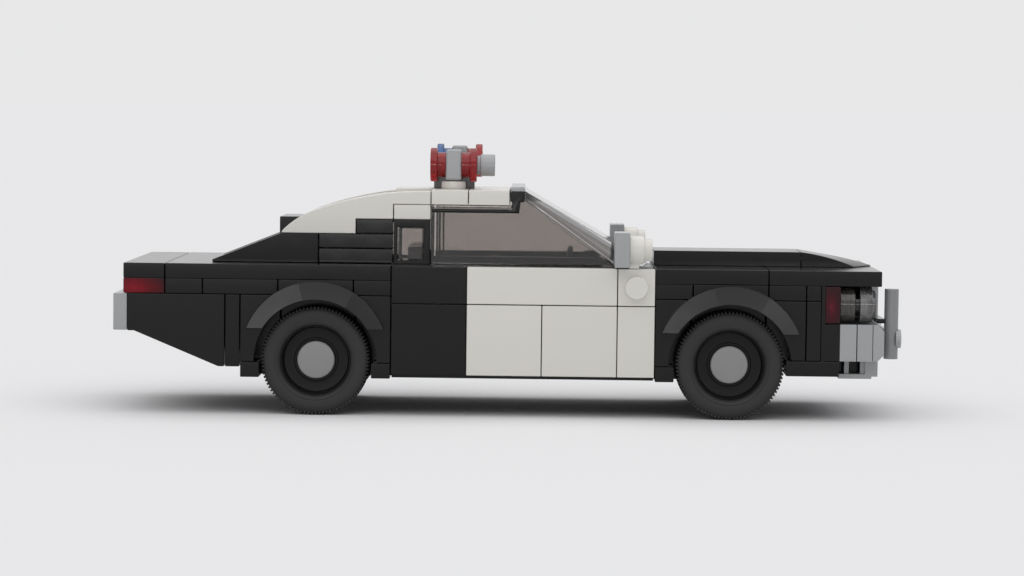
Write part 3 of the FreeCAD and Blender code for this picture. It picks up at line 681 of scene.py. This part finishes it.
# the two light units: rear and front face of each core, and the middle of its lamps
def lightUnits():
    blueLow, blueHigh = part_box("blue_lamp")
    redLow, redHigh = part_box("red_lamps")
    ahead = blueLow.x - redLow.x     # how far the left unit stands ahead of the right one
    half = (blueHigh.z - blueLow.z) / 2
    y = (blueLow.y + blueHigh.y) / 2
    length = roofLampSettings["length"] * mm
    rear = blueLow.x + length
    front = redHigh.x - length
    left = {"rear": rear, "front": front, "y": y, "z": blueLow.z + half}
    right = {"rear": rear - ahead, "front": front - ahead, "y": -y, "z": redLow.z + half}
    return left, right


def makeRoofLamps():
    settings = roofLampSettings
    lamp = turnedShape("roofLamp", settings["rings"], settings["steps"])
    smooth(lamp, settings["smooth"])
    left, right = lightUnits()
    red = []
    for unit, face, turn in ((right, "rear", facingRear), (right, "front", facingFront),
                             (left, "front", facingFront)):
        piece = copyPiece(lamp, "redLampPiece")
        placeAt(piece, (unit[face], unit["y"], unit["z"]), turn)
        red.append(piece)
    whole = joinPieces(*red)
    whole.name = "redLampPieces"
    finishPiece(whole, "red_lamps")
    placeAt(lamp, (left["rear"], left["y"], left["z"]), facingRear)
    lamp.name = "blueLampPiece"
    finishPiece(lamp, "blue_lamp")


# core: an upright grey block between two lamps, on a neck; a siren's horn stands before the right-hand unit
coreSettings = {
    "height": 6.6,
    "corner": 0.5,           # rounding of the upright edges
    "cornerSteps": 8,
    "edge": 0.3,             # rounding of the other edges
    "edgeSteps": 3,
    "edgeAngle": 50,         # degrees; flatter folds aren't rounded again
    "neck": ((1.3, -0.2), (1.5, -0.05), (1.5, 0.4), (1.3, 0.5)),
    "neckSteps": 40,
    "siren": ((0.8, 0.0), (1.95, 0.0), (2.05, 0.12), (2.05, 0.75), (2.3, 0.85), (2.36, 0.95), (2.36, 3.78),
              (2.25, 3.9), (1.7, 3.9), (1.65, 3.3), (0.6, 3.3)),
    "sirenSteps": 56,
    "smooth": 35,
}


def makeCore(unit, halfWidth, top):
    settings = coreSettings
    length = unit["front"] - unit["rear"]
    height = settings["height"] * mm
    x = unit["rear"] + length / 2
    bpy.ops.object.select_all(action="DESELECT")
    bpy.ops.mesh.primitive_cube_add(size=1)
    core = bpy.context.object
    core.scale = (length, 2 * halfWidth, height)
    placeAt(core, (x, unit["y"], top - height / 2))
    for edge in core.data.edges:      # the upright ones
        foot, head = [core.data.vertices[i].co for i in edge.vertices]
        edge.select = abs(foot.z - head.z) > height / 2
    onlySelect(core)
    bpy.ops.object.mode_set(mode="EDIT")
    bpy.ops.mesh.select_mode(type="EDGE")
    bpy.ops.mesh.bevel(offset=settings["corner"] * mm, segments=settings["cornerSteps"], affect="EDGES")
    bpy.ops.mesh.select_mode(type="VERT")
    leaveEdit()
    applyModifier(core, "BEVEL", width=settings["edge"] * mm, segments=settings["edgeSteps"],
                  limit_method="ANGLE", angle_limit=math.radians(settings["edgeAngle"]))
    smooth(core, settings["smooth"])
    neck = turnedShape("coreNeck", settings["neck"], settings["neckSteps"])
    placeAt(neck, (x, unit["y"], top - height))
    return core, neck


def makeCores():
    settings = coreSettings
    left, right = lightUnits()
    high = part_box("light_cores")[1]
    halfWidth = high.y - left["y"]
    aboveLamps = high.z - left["z"]
    siren = turnedShape("siren", settings["siren"], settings["sirenSteps"])
    smooth(siren, settings["smooth"])
    placeAt(siren, (right["front"] + roofLampSettings["length"] * mm, right["y"], right["z"]), facingFront)
    parts = [part for unit in (right, left) for part in makeCore(unit, halfWidth, unit["z"] + aboveLamps)]
    whole = joinPieces(*parts, siren)
    whole.name = "lightCorePieces"
    finishPiece(whole, "light_cores")


makeHeadlamps()
makeRoofLamps()
makeCores()
print("lamps modelled")

# every brick gets the small rounded edge of a moulded part
edgeSettings = {
    "width": 0.17 * mm,
    "steps": 2,
    "angle": 28,             # degrees; flatter folds stay as they are
    "flat": 0.5,             # degrees; faces closer to one plane than this become one
    "smooth": 35,
    "facets": {"arch_flares": 2.0},   # the flares' facets lie a few degrees apart, and stay so
}


def dressNode(node):
    settings = edgeSettings
    piece = bpy.data.objects.new(node + "_piece", frame["nodes"][node].data.copy())
    bpy.context.scene.collection.objects.link(piece)
    editAll(piece)
    bpy.ops.mesh.remove_doubles(threshold=weldGap)
    bpy.ops.mesh.dissolve_limited(angle_limit=math.radians(settings["flat"]), use_dissolve_boundaries=False)
    leaveEdit()
    applyModifier(piece, "BEVEL", width=settings["width"], segments=settings["steps"], limit_method="ANGLE",
                  angle_limit=math.radians(settings["angle"]), use_clamp_overlap=True)
    smooth(piece, settings["facets"].get(node, settings["smooth"]))
    finishPiece(piece, node)


for node in sorted(set(frame["nodes"]) - dressed):
    dressNode(node)
print("bricks dressed")

# camera: a long lens just above the roof, level with the middle of the car
cameraSettings = {
    "lens": 109.8,
    "sensor": 36.0,
    "place": (6.55 * mm, -684 * mm, 67 * mm),
    # radians
    "yaw": 0.0086,
    "pitch": 0.0596,
    "roll": -0.012,
}


def addCamera():
    bpy.ops.object.camera_add()
    camera = bpy.context.object
    camera.data.lens = cameraSettings["lens"]
    camera.data.sensor_width = cameraSettings["sensor"]
    turn = (Matrix.Rotation(cameraSettings["yaw"], 4, "Z")
            @ Matrix.Rotation(-cameraSettings["pitch"], 4, "X")
            @ Matrix.Rotation(cameraSettings["roll"], 4, "Y")
            @ Matrix.Rotation(math.pi / 2, 4, "X"))
    camera.matrix_world = Matrix.Translation(cameraSettings["place"]) @ turn
    bpy.context.scene.camera = camera


# studio: an even pale floor that meets an equal backdrop, a wide soft lamp above and two low soft boxes
studioSettings = {
    "floorSize": 60.0,
    "floorColour": (0.828, 0.828, 0.833, 1.0),
    "backdrop": (0.803, 0.803, 0.810, 1.0),   # what is seen, in gloss and through glass too
    "sky": (0.40, 0.40, 0.41, 1.0),           # what lights the scene
    "sun": 1.83,
    "sunPlace": (0, -0.3, 1),
    "sunTilt": 12,           # degrees
    "sunSpread": 100.0,      # degrees
    "boxPower": 15.833,      # watts a square metre
    # middle of each soft box, which only gloss shows, and its width and height
    "boxes": (((-0.30, -1.5, 0.115), 0.60, 0.11), ((0.33, -1.5, 0.13), 0.46, 0.085)),
}


def addFloor():
    bpy.ops.object.select_all(action="DESELECT")
    bpy.ops.mesh.primitive_plane_add(size=studioSettings["floorSize"])
    floor = bpy.context.object
    floor.name = "studioFloor"
    paint = Paint("floorCard")
    paint.set(Base_Color=studioSettings["floorColour"], Roughness=1.0, Specular_IOR_Level=0.0)
    floor.data.materials.append(paint.material)


def addSky():
    world = bpy.data.worlds.new("studioAir")
    bpy.context.scene.world = world
    world.use_nodes = True
    world.node_tree.nodes.clear()
    air = Nodes(world.node_tree)
    camera, gloss, through = [air.add("ShaderNodeLightPath", output=ray)
                              for ray in ("Is Camera Ray", "Is Glossy Ray", "Is Transmission Ray")]
    seen = air.add("ShaderNodeMath", {"operation": "ADD", "use_clamp": True}, {0: camera + gloss, 1: through})
    sky, card = [air.add("ShaderNodeBackground", None, {"Color": studioSettings[name]})
                 for name in ("sky", "backdrop")]
    both = air.add("ShaderNodeMixShader", None, {0: seen, 1: sky, 2: card})
    air.add("ShaderNodeOutputWorld", None, {"Surface": both})


def addLamps():
    settings = studioSettings
    bpy.ops.object.light_add(type="SUN", location=settings["sunPlace"],
                             rotation=(math.radians(settings["sunTilt"]), 0, 0))
    sun = bpy.context.object.data
    sun.energy = settings["sun"]
    sun.angle = math.radians(settings["sunSpread"])
    for place, width, height in settings["boxes"]:
        bpy.ops.object.light_add(type="AREA", location=place)
        lamp = bpy.context.object
        lamp.rotation_euler = (-Vector(place)).to_track_quat("-Z", "Y").to_euler()
        lamp.data.shape = "RECTANGLE"
        lamp.data.size = width
        lamp.data.size_y = height
        lamp.data.energy = settings["boxPower"] * width * height
        lamp.visible_camera = False
        lamp.visible_diffuse = False
        lamp.visible_transmission = False


addCamera()
addFloor()
addSky()
addLamps()
bpy.context.scene.view_settings.view_transform = "Standard"
print("camera and studio ready")

bpy.context.view_layer.update()
